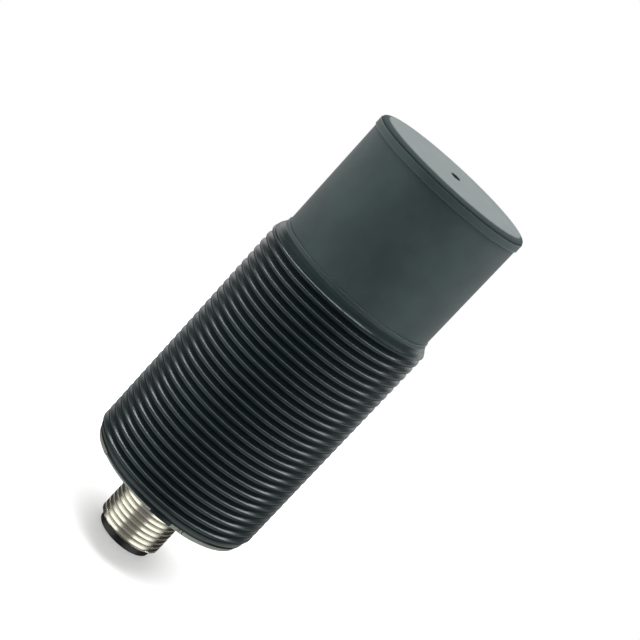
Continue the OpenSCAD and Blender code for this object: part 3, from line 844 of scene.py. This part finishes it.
def helix(crest_r, pitch, z_first, ridges, crest_half, corner, ceiling, ground):
    """A threaded tube between the first and the last level of its ceiling."""
    outline = [
        p
        for i in range(-2, ridges + 3)
        for p in ridge_outline(crest_r, pitch, z_first - i * pitch, crest_half, corner)
    ]
    bm = bmesh.new()
    line = chain(bm, outline)
    climb = (0, 0, pitch / AROUND)
    bmesh.ops.spin(bm, geom=line, dvec=climb, angle=math.tau, steps=AROUND, **ABOUT_AXIS)
    bmesh.ops.remove_doubles(bm, verts=bm.verts, dist=SAME)
    z_top, z_bottom = ceiling[0][0], ceiling[-1][0]
    for z in dict(ceiling + ground):
        everything = bm.verts[:] + bm.edges[:] + bm.faces[:]
        plane = {"plane_co": (0, 0, z), "plane_no": (0, 0, 1), "dist": SAME}
        beyond = {"clear_outer": z == z_top, "clear_inner": z == z_bottom}
        bmesh.ops.bisect_plane(bm, geom=everything, **plane, **beyond)
    for v in bm.verts:
        r = radius(v)
        kept = min(max(r, along_axis(v.co.z, ground)), along_axis(v.co.z, ceiling))
        v.co.x *= kept / r
        v.co.y *= kept / r
    return bm


def open_rims(bm, z_middle):
    """The open edges above a level, and those below it."""
    rims = [e for e in bm.edges if e.is_boundary]
    above = [e for e in rims if e.verts[0].co.z > z_middle]
    return above, [e for e in rims if e not in above]


def add_bmesh(target, source):
    """Copies one bmesh into another."""
    mesh = mesh_from(source, "passing")
    target.from_mesh(mesh)
    bpy.data.meshes.remove(mesh)


print("thread helpers are ready")

# %% [markdown]
# The threaded barrel
#
# Two surfaces make the barrel: the helix outside, and everything else, which is a plain
# turned outline that starts at the collar, goes through the inside of the tube and ends
# at the rear edge. They are joined ring to ring. Below the last turn the tube ends in a
# land with a chamfer on top and a large rounding under it. The tongue that keys the rear
# cap is pulled out of the end face: three radial planes cut the face, and what lies between
# them is extruded, first all of it, then the tab at the end once more.

# %% Model the barrel's surfaces
PITCH = 1.5 * MM
RIDGES = 29
COLLAR_STEP = 0.2 * MM
COLLAR_HEIGHT = 1.05 * MM
RUN_IN = 1.0 * MM
FLARE_RISE = 0.46 * MM
FLARE = 1.55 * MM
THREAD_DROP = 0.06 * MM
FILL_DROP = 0.1 * MM
RUN_OUT = 0.5 * MM
THREAD_DEPTH = DEPTH_PER_PITCH * PITCH
END_STEP = 0.42 * MM
END_HEIGHT = 0.75 * MM
END_CHAMFER = 0.27 * MM
CHAMFER_ABOVE = 0.17 * MM
CHAMFER_EASED = 0.03 * MM
CHAMFER_BELOW = 0.08 * MM
END_WALL_DROP = 0.12 * MM
END_ROUND = 0.35 * MM
CREST_HALF = 0.22 * MM
CREST_ROUND = 0.2 * MM
COLLAR_CHAMFER = 0.03 * MM
REAR_RIM_HEIGHT = 0.8 * MM
BARREL_WALL = 2.35 * MM
SEAT_WALL = 1.35 * MM
FIT = 0.1 * MM
NOSE_WALL = 1.8 * MM
BOARD = 1.6 * MM

collar_r = cap_r + COLLAR_STEP
root_r = thread_r - THREAD_DEPTH
end_r = thread_r - END_STEP
bore_r = root_r - BARREL_WALL
seat_r = root_r - SEAT_WALL
nose_r = cap_r - CAP_WALL - FIT
nose_in_r = nose_r - NOSE_WALL
z_lead = z_collar - COLLAR_HEIGHT
z_crest = z_lead - RUN_IN - CREST_HALF - THREAD_DROP
z_barrel_end = z_rear + REAR_RIM_HEIGHT
z_land = z_barrel_end + END_HEIGHT
z_shoulder = z_skirt + BOARD

z_slope = z_lead + FLARE_RISE
z_end_wall = z_land - END_WALL_DROP
land = [
    (z_land + CHAMFER_ABOVE, end_r - END_CHAMFER),
    (z_land - CHAMFER_EASED, end_r - 0.1 * END_CHAMFER),
    (z_land - CHAMFER_BELOW, end_r),
]
for a in (math.radians(step) for step in (0, 15, 30, 45, 60, 70, 80)):
    z_here = z_end_wall - (z_end_wall - z_barrel_end) * math.sin(a)
    land.append((z_here, end_r - END_ROUND * (1 - math.cos(a))))


def flare(share, drop=0.0):
    """A point of the slope that leads from the collar to the thread."""
    rise = (thread_r - collar_r) * share - drop * share
    return z_slope - FLARE * share, collar_r + rise


z_top_ring = z_collar - COLLAR_CHAMFER
slope = (0, 0.1, 0.25, 0.45, 0.65, 0.85)
eased = [
    (z_slope - FLARE * share, thread_r - (thread_r - collar_r) * left)
    for share, left in ((0.93, 0.085), (0.99, 0.04), (1.05, 0.012), (1.1, 0.0))
]
ceiling = [
    (z_top_ring, collar_r),
    *[flare(share) for share in slope],
    *eased,
    (z_land + RUN_OUT, thread_r),
    *land,
]
ground = [
    (z_top_ring, collar_r),
    *[flare(share, FILL_DROP) for share in slope],
    (z_slope - FLARE, thread_r - 1.5 * FILL_DROP),
    (z_slope - 1.12 * FLARE, root_r - FIT),
    (z_land + 0.9 * RUN_OUT, root_r - FIT),
    *land,
]
barrel_bm = helix(thread_r, PITCH, z_crest, RIDGES, CREST_HALF, CREST_ROUND, ceiling, ground)
print("thread vertices:", len(barrel_bm.verts))

# %% Add the inside and the ends
KEY_STEP = 0.65 * MM
KEY_HEIGHT = 0.45 * MM
NOSE_CHAMFER = 0.4 * MM
RING_GROOVE_DROP = 4 * MM
RING_GROOVE_WIDTH = 1.5 * MM
RING_GROOVE_DEPTH = 1 * MM
key_r = end_r - KEY_STEP
key_in_r = seat_r + FIT
z_ring_groove = z_nose - RING_GROOVE_DROP

inside = [
    (collar_r - COLLAR_CHAMFER, z_collar),
    (nose_r, z_collar),
    (nose_r, z_ring_groove - RING_GROOVE_WIDTH),
    (nose_r - RING_GROOVE_DEPTH, z_ring_groove - RING_GROOVE_WIDTH),
    (nose_r - RING_GROOVE_DEPTH, z_ring_groove),
    (nose_r, z_ring_groove),
    (nose_r, z_nose - NOSE_CHAMFER),
    (nose_r - NOSE_CHAMFER, z_nose),
    (nose_in_r, z_nose),
    (nose_in_r, z_lead),
    (bore_r, z_lead),
    (bore_r, z_shoulder),
    (seat_r, z_shoulder),
    (seat_r, z_barrel_end),
    (key_in_r, z_barrel_end),
    (key_r, z_barrel_end),
    (end_r - END_ROUND, z_barrel_end),
]
add_bmesh(barrel_bm, spin_outline(inside, closed=False))
for rims in open_rims(barrel_bm, z_crest):
    bmesh.ops.bridge_loops(barrel_bm, edges=rims)
    print("rim edges joined:", len(rims))
bmesh.ops.recalc_face_normals(barrel_bm, faces=barrel_bm.faces)

# %% Pull out the tongue
KEY_FROM = -136.5
TAB_FROM = -88.3
KEY_TO = -73.0


def end_faces(bm, z, r_low, r_high, from_angle, to_angle):
    """Faces of a flat ring between two radii and two angles, in degrees anticlockwise from +X."""
    found = []
    for f in bm.faces:
        middle = f.calc_center_median()
        flat = abs(middle.z - z) < 0.01 * MM and abs(f.normal.z) > 0.99
        angle = math.degrees(math.atan2(middle.y, middle.x))
        if flat and r_low < middle.xy.length < r_high and from_angle < angle < to_angle:
            found.append(f)
    return found


def extrude_down(bm, faces, height):
    """Pulls faces down along the axis."""
    pulled = bmesh.ops.extrude_face_region(bm, geom=faces)["geom"]
    moved = [g for g in pulled if isinstance(g, bmesh.types.BMVert)]
    bmesh.ops.translate(bm, verts=moved, vec=(0, 0, -height))
    bmesh.ops.delete(bm, geom=faces, context="FACES")


for angle in (KEY_FROM, TAB_FROM, KEY_TO):
    ring = end_faces(barrel_bm, z_barrel_end, seat_r, end_r, -180, 180)
    around = {g for f in ring for g in (*f.verts, *f.edges)}
    across = (math.sin(math.radians(angle)), -math.cos(math.radians(angle)), 0)
    bmesh.ops.bisect_plane(
        barrel_bm, geom=ring + list(around), dist=SAME, plane_co=(0, 0, 0), plane_no=across
    )
tongue = end_faces(barrel_bm, z_barrel_end, key_in_r, key_r, KEY_FROM, KEY_TO)
extrude_down(barrel_bm, tongue, KEY_HEIGHT)
tab = end_faces(barrel_bm, z_barrel_end - KEY_HEIGHT, key_in_r, key_r, TAB_FROM, KEY_TO)
extrude_down(barrel_bm, tab, REAR_RIM_HEIGHT - KEY_HEIGHT)
bmesh.ops.recalc_face_normals(barrel_bm, faces=barrel_bm.faces)
print("tongue faces:", len(tongue), "tab faces:", len(tab))
finish_piece(barrel_bm, "barrel_moulding", "barrel_plastic", "threaded_barrel", sharp=55)

# %% [markdown]
# Cutting into a solid
#
# The rear cap has a stepped recess for the tongue, two fine ticks and a hole over the
# adjuster. Cuts that run across a turned shape are quickest with a boolean: the cutter is
# a solid of its own, the modifier subtracts it, and the result is read back as a plain
# mesh. The exact solver copes with the thin web that stays under the tongue.

# %% Helpers for cutting
def closed_wedge(r_in, r_out, z_low, z_high, from_angle, to_angle):
    """A block between two radii, two levels and two angles."""
    bm = bmesh.new()
    corners = [(r_in, z_low), (r_out, z_low), (r_out, z_high), (r_in, z_high)]
    verts = [bm.verts.new((r, 0, z)) for r, z in corners]
    edges = [bm.edges.new(pair) for pair in neighbours(verts, True)]
    span = to_angle - from_angle
    steps = max(2, round(span * AROUND / 360))
    bmesh.ops.spin(bm, geom=verts + edges, angle=math.radians(span), steps=steps, **ABOUT_AXIS)
    bmesh.ops.holes_fill(bm, edges=[e for e in bm.edges if e.is_boundary], sides=4)
    start = Matrix.Rotation(math.radians(from_angle), 3, "Z")
    bmesh.ops.rotate(bm, verts=bm.verts, cent=(0, 0, 0), matrix=start)
    bmesh.ops.recalc_face_normals(bm, faces=bm.faces)
    return bm


def closed_rod(x, y, r, z_low, z_high, steps=48):
    """A straight rod along the axis."""
    bm = bmesh.new()
    height = z_high - z_low
    bmesh.ops.create_cone(bm, cap_ends=True, segments=steps, radius1=r, radius2=r, depth=height)
    bmesh.ops.translate(bm, verts=bm.verts, vec=(x, y, (z_low + z_high) / 2))
    return bm


def closed_block(low, high, turn=0.0):
    """A box between two corners, turned about the axis by an angle in degrees."""
    bm = bmesh.new()
    bmesh.ops.create_cube(bm, size=1.0)
    bmesh.ops.scale(bm, verts=bm.verts, vec=Vector(high) - Vector(low))
    bmesh.ops.translate(bm, verts=bm.verts, vec=(Vector(low) + Vector(high)) / 2)
    about = Matrix.Rotation(math.radians(turn), 3, "Z")
    bmesh.ops.rotate(bm, verts=bm.verts, cent=(0, 0, 0), matrix=about)
    return bm


def cut(bm, tools, operation="DIFFERENCE"):
    """Cuts tools out of a solid, or adds them to it, and gives the result as a bmesh."""
    body = add_object("solid", mesh_from(bm, "solid"))
    helpers = [add_object("tool", mesh_from(tool, "tool")) for tool in tools]
    for helper in helpers:
        modifier = body.modifiers.new("cut", "BOOLEAN")
        modifier.operation = operation
        modifier.solver = "EXACT"
        modifier.object = helper
    result = bmesh.new()
    result.from_object(body, bpy.context.evaluated_depsgraph_get())
    for o in [body, *helpers]:
        bpy.data.meshes.remove(o.data)
    bmesh.ops.remove_doubles(result, verts=result.verts, dist=SAME)
    return result


print("cutting helpers are ready")

# %% [markdown]
# The rear cap
#
# Only its low rim shows beside the barrel, but the whole rear face does when the sensor
# is turned round: a flat disc with the connector in its middle and the adjuster's hole
# above it. The skirt that slides into the barrel and the groove for its sealing ring are
# part of the same moulding.

# %% Model the rear cap
PLATE = 1.6 * MM
SKIRT_WALL = 1.3 * MM
SEAL_DROP = 3 * MM
SEAL_HEIGHT = 1.3 * MM
SEAL_DEPTH = 0.8 * MM
RIM_EDGE = 0.35 * MM
RIM_INSET = 0.2 * MM
COLLAR_INSET = 0.3 * MM
PLUG_R = 5.93 * MM
KEY_PLAY = 0.5
STEP_PLAY = 0.2
WEB_PLAY = 0.03 * MM
KEY_RELIEF = 0.1 * MM
RECESS_TO = -66.0
TICK = 0.25 * MM
TICK_DEPTH = 0.5 * MM
TICK_OFF = 1.8
OVER = 1 * MM

shell_r = PLUG_R - COLLAR_INSET
skirt_r = seat_r - FIT
skirt_in_r = skirt_r - SKIRT_WALL
plate_r = rear_rim_r - RIM_INSET
z_plate = z_rear + PLATE
z_seal = z_skirt - SEAL_DROP
web_r = key_r - FIT
cap_outline = [
    (shell_r + FIT, z_plate),
    (skirt_in_r, z_plate),
    (skirt_in_r, z_skirt),
    (skirt_r, z_skirt),
    (skirt_r, z_seal),
    (skirt_r - SEAL_DEPTH, z_seal),
    (skirt_r - SEAL_DEPTH, z_seal - SEAL_HEIGHT),
    (skirt_r, z_seal - SEAL_HEIGHT),
    (skirt_r, z_barrel_end),
    (plate_r, z_barrel_end),
    (plate_r, z_rear),
    (shell_r + FIT, z_rear),
]
rear_bm = spin_outline(cap_outline)
round_ring(rear_bm, plate_r, z_rear, RIM_EDGE, 5)
round_ring(rear_bm, shell_r + FIT, z_rear, SOFT_EDGE)
print("rear cap faces:", len(rear_bm.faces))

# %% Cut the recess, the ticks and the adjuster's hole
screw_low, screw_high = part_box("trimmer_screw")
screw_y = (screw_low.y + screw_high.y) / 2
screw_r = (screw_high.x - screw_low.x) / 2
HOLE_GAP = 0.3 * MM
POCKET_R = 2.05 * MM
POCKET_DEPTH = 0.6 * MM

cut_from, tab_from, cut_to = KEY_FROM - KEY_PLAY, TAB_FROM - KEY_PLAY, KEY_TO + KEY_PLAY
z_web = z_barrel_end - KEY_HEIGHT - WEB_PLAY
z_out = z_rear - OVER
z_relief = z_barrel_end + KEY_RELIEF
tools = [
    closed_wedge(web_r, plate_r + OVER, z_out, z_barrel_end + OVER, cut_from, RECESS_TO),
    closed_wedge(skirt_r - KEY_RELIEF, key_r, z_web, z_relief, cut_from - STEP_PLAY, cut_to),
    closed_wedge(skirt_r, web_r + KEY_RELIEF, z_out, z_web + WEB_PLAY, tab_from, cut_to),
    closed_rod(0, screw_y, screw_r + HOLE_GAP, z_out, z_plate + OVER),
    closed_rod(0, screw_y, POCKET_R, z_plate - POCKET_DEPTH, z_plate + OVER),
]
for angle in (KEY_FROM - TICK_OFF, RECESS_TO + TICK_OFF):
    low = (plate_r - TICK_DEPTH, -TICK / 2, z_out)
    high = (plate_r + OVER, TICK / 2, z_barrel_end + OVER)
    tools.append(closed_block(low, high, angle))
rear_bm = cut(rear_bm, tools)
finish_piece(rear_bm, "rear_cap_moulding", "clear_plastic", "rear_cap")

# %% [markdown]
# The connector's sleeve
#
# The sleeve is a turned tube with a fine metric thread, a narrow neck above it where the
# tool ran out, and a chamfer that leads the plug's nut on. It is the barrel's recipe with
# other numbers, with broad crests and narrow grooves. A bridge between the outer and the
# inner surface comes out twisted here, so triangles fill the flat rings between them, and
# the volume shows that the bore stays open. The flange that holds the sleeve inside the
# rear cap belongs to the same piece.

# %% Model the sleeve
PLUG_PITCH = 1.0 * MM
PLUG_RIDGES = 8
PLUG_CREST_HALF = 0.4 * MM
PLUG_CREST_ROUND = 0.04 * MM
PLUG_THREAD_RISE = 0.35 * MM
PLUG_COLLAR = 1.55 * MM
PLUG_NECK = 0.95 * MM
NECK_RUN = 0.35 * MM
TIP = 0.45 * MM
SHELL_BORE_R = 4.85 * MM
FLANGE_RING = 1 * MM

ring_r = (PLUG_R + flange_r) / 2 - FLANGE_RING / 2
ring_out_r = (PLUG_R + flange_r) / 2 + FLANGE_RING / 2
plug_root_r = PLUG_R - DEPTH_PER_PITCH * PLUG_PITCH
z_neck = z_rear - PLUG_COLLAR
z_plug_crest = z_neck - PLUG_NECK - PLUG_PITCH / 2 + PLUG_THREAD_RISE
plug_ceiling = [
    (z_neck, plug_root_r),
    (z_plug_crest + NECK_RUN, plug_root_r),
    (z_plug_crest + NECK_RUN / 2, (plug_root_r + PLUG_R) / 2),
    (z_plug_crest, PLUG_R),
    (z_shell_end + TIP, PLUG_R),
    (z_shell_end + TIP / 2, PLUG_R - TIP / 2),
    (z_shell_end, PLUG_R - TIP),
]
plug_ground = [(z_neck, 0.0), (z_shell_end, 0.0)]
crest = PLUG_CREST_HALF, PLUG_CREST_ROUND
sleeve_bm = helix(PLUG_R, PLUG_PITCH, z_plug_crest, PLUG_RIDGES, *crest, plug_ceiling, plug_ground)
sleeve_inside = [
    (shell_r, z_neck),
    (shell_r, z_plate),
    (ring_r, z_plate),
    (ring_r, z_plate + FLANGE_RING),
    (ring_out_r, z_plate + FLANGE_RING),
    (ring_out_r, z_plate),
    (flange_r, z_plate),
    (flange_r, z_flange),
    (SHELL_BORE_R, z_flange),
    (SHELL_BORE_R, z_shell_end),
]
inner_bm = spin_outline(sleeve_inside, closed=False)
round_ring(inner_bm, flange_r, z_flange, SOFT_EDGE)
add_bmesh(sleeve_bm, inner_bm)
for rims, up in zip(open_rims(sleeve_bm, z_plug_crest), (1, -1)):
    bmesh.ops.triangle_fill(sleeve_bm, use_beauty=True, edges=rims, normal=(0, 0, up))
bmesh.ops.recalc_face_normals(sleeve_bm, faces=sleeve_bm.faces)
print("sleeve volume, mm3:", round(sleeve_bm.calc_volume() / MM**3, 1))
finish_piece(sleeve_bm, "connector_sleeve", "nickel", "connector_shell", sharp=55)

# %% [markdown]
# The contact insert and its pins
#
# A black insert fills the sleeve and its lip covers the end of the metal. It is a cup
# with a key rib on one side, so that the plug goes in one way only, and four holes for
# the pins. A pin is a gold-plated rod with a domed tip.

# %% Model the insert
SOCKET_R = 4.3 * MM
SOCKET_DEPTH = 8.8 * MM
RIB_WIDTH = 1.4 * MM
RIB_HEIGHT = 0.7 * MM
RIB_RECESS = 1.0 * MM
PIN_GAP = 0.04 * MM
LIP_EDGE = 0.22 * MM
SOCKET_EDGE = 0.12 * MM

z_socket = z_lip + SOCKET_DEPTH
insert_outline = [
    (0, z_carrier),
    (SHELL_BORE_R - PIN_GAP, z_carrier),
    (SHELL_BORE_R - PIN_GAP, z_shell_end),
    (lip_r, z_shell_end),
    (lip_r, z_lip),
    (SOCKET_R, z_lip),
    (SOCKET_R, z_socket),
    (0, z_socket),
]
insert_bm = spin_outline(insert_outline, steps=96)
round_ring(insert_bm, lip_r, z_lip, LIP_EDGE)
round_ring(insert_bm, SOCKET_R, z_lip, SOCKET_EDGE)
rib_low = (-RIB_WIDTH / 2, SOCKET_R - RIB_HEIGHT, z_lip + RIB_RECESS)
rib_high = (RIB_WIDTH / 2, SOCKET_R + RIB_HEIGHT / 4, z_socket + RIB_HEIGHT)
insert_bm = cut(insert_bm, [closed_block(rib_low, rib_high)], "UNION")
pins = [f"contact_pin_{i}" for i in (1, 2, 3, 4)]
pin_r = (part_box(pins[0])[1].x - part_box(pins[0])[0].x) / 2
middles = {pin: (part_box(pin)[0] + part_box(pin)[1]) / 2 for pin in pins}
holes = [
    closed_rod(m.x, m.y, pin_r + PIN_GAP, z_socket - OVER, z_carrier + OVER, 24)
    for m in middles.values()
]
insert_bm = cut(insert_bm, holes)
finish_piece(insert_bm, "contact_insert", "carrier_plastic", "contact_carrier")

# %% Model the pins
TIP_CONE = 0.3 * MM
TIP_EDGE = 0.12 * MM
TAIL_EDGE = 0.05 * MM
for pin in pins:
    low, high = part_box(pin)
    z_cone = low.z + TIP_CONE
    outline = [(0, high.z), (pin_r, high.z), (pin_r, z_cone), (pin_r / 2, low.z), (0, low.z)]
    pin_bm = spin_outline(outline, steps=32)
    round_ring(pin_bm, pin_r, z_cone, TIP_EDGE)
    round_ring(pin_bm, pin_r / 2, low.z, TIP_EDGE)
    round_ring(pin_bm, pin_r, high.z, TAIL_EDGE)
    bmesh.ops.translate(pin_bm, verts=pin_bm.verts, vec=(middles[pin].x, middles[pin].y, 0))
    finish_piece(pin_bm, f"plated_{pin}", "gold", pin)

# %% [markdown]
# The adjuster
#
# The sensing distance is set with a small brass screw behind the rear face. It is the
# only piece that moves. A screwdriver slot crosses its end, and its edge is broken so
# that the blade finds it.

# %% Model the adjuster's screw
SLOT_WIDTH = 0.5 * MM
SLOT_DEPTH = 0.7 * MM
screw_outline = [(0, screw_high.z), (screw_r, screw_high.z), (screw_r, screw_low.z), (0, screw_low.z)]
screw_bm = spin_outline(screw_outline, steps=64)
round_ring(screw_bm, screw_r, screw_low.z, SOFT_EDGE)
slot = closed_block(
    (-screw_r - OVER, -SLOT_WIDTH / 2, screw_low.z - OVER),
    (screw_r + OVER, SLOT_WIDTH / 2, screw_low.z + SLOT_DEPTH),
)
screw_bm = cut(screw_bm, [slot])
bmesh.ops.translate(screw_bm, verts=screw_bm.verts, vec=(0, screw_y, 0))
finish_piece(screw_bm, "adjuster_screw", "screw_brass", "trimmer_screw", "trimmer")

# %% [markdown]
# The pieces inside
#
# Everything that stays closed in keeps the frame's own shape and gets the finish of its
# slot in the record. The record says which node belongs to which slot, so one loop does
# them all.

# %% Paint the inner pieces
painted = 0
for entry in frame["record"]["subparts"]:
    node = frame["nodes"][entry["node"]]
    if node.hide_render:
        continue
    node.data.materials.clear()
    node.data.materials.append(finishes[entry["material_slot"]])
    painted += 1
print("inner pieces painted:", painted)

# %% [markdown]
# Colours as written
#
# The standard view keeps a colour the way it was mixed, which a catalogue picture needs.

# %% Finish
scene.view_settings.view_transform = "Standard"
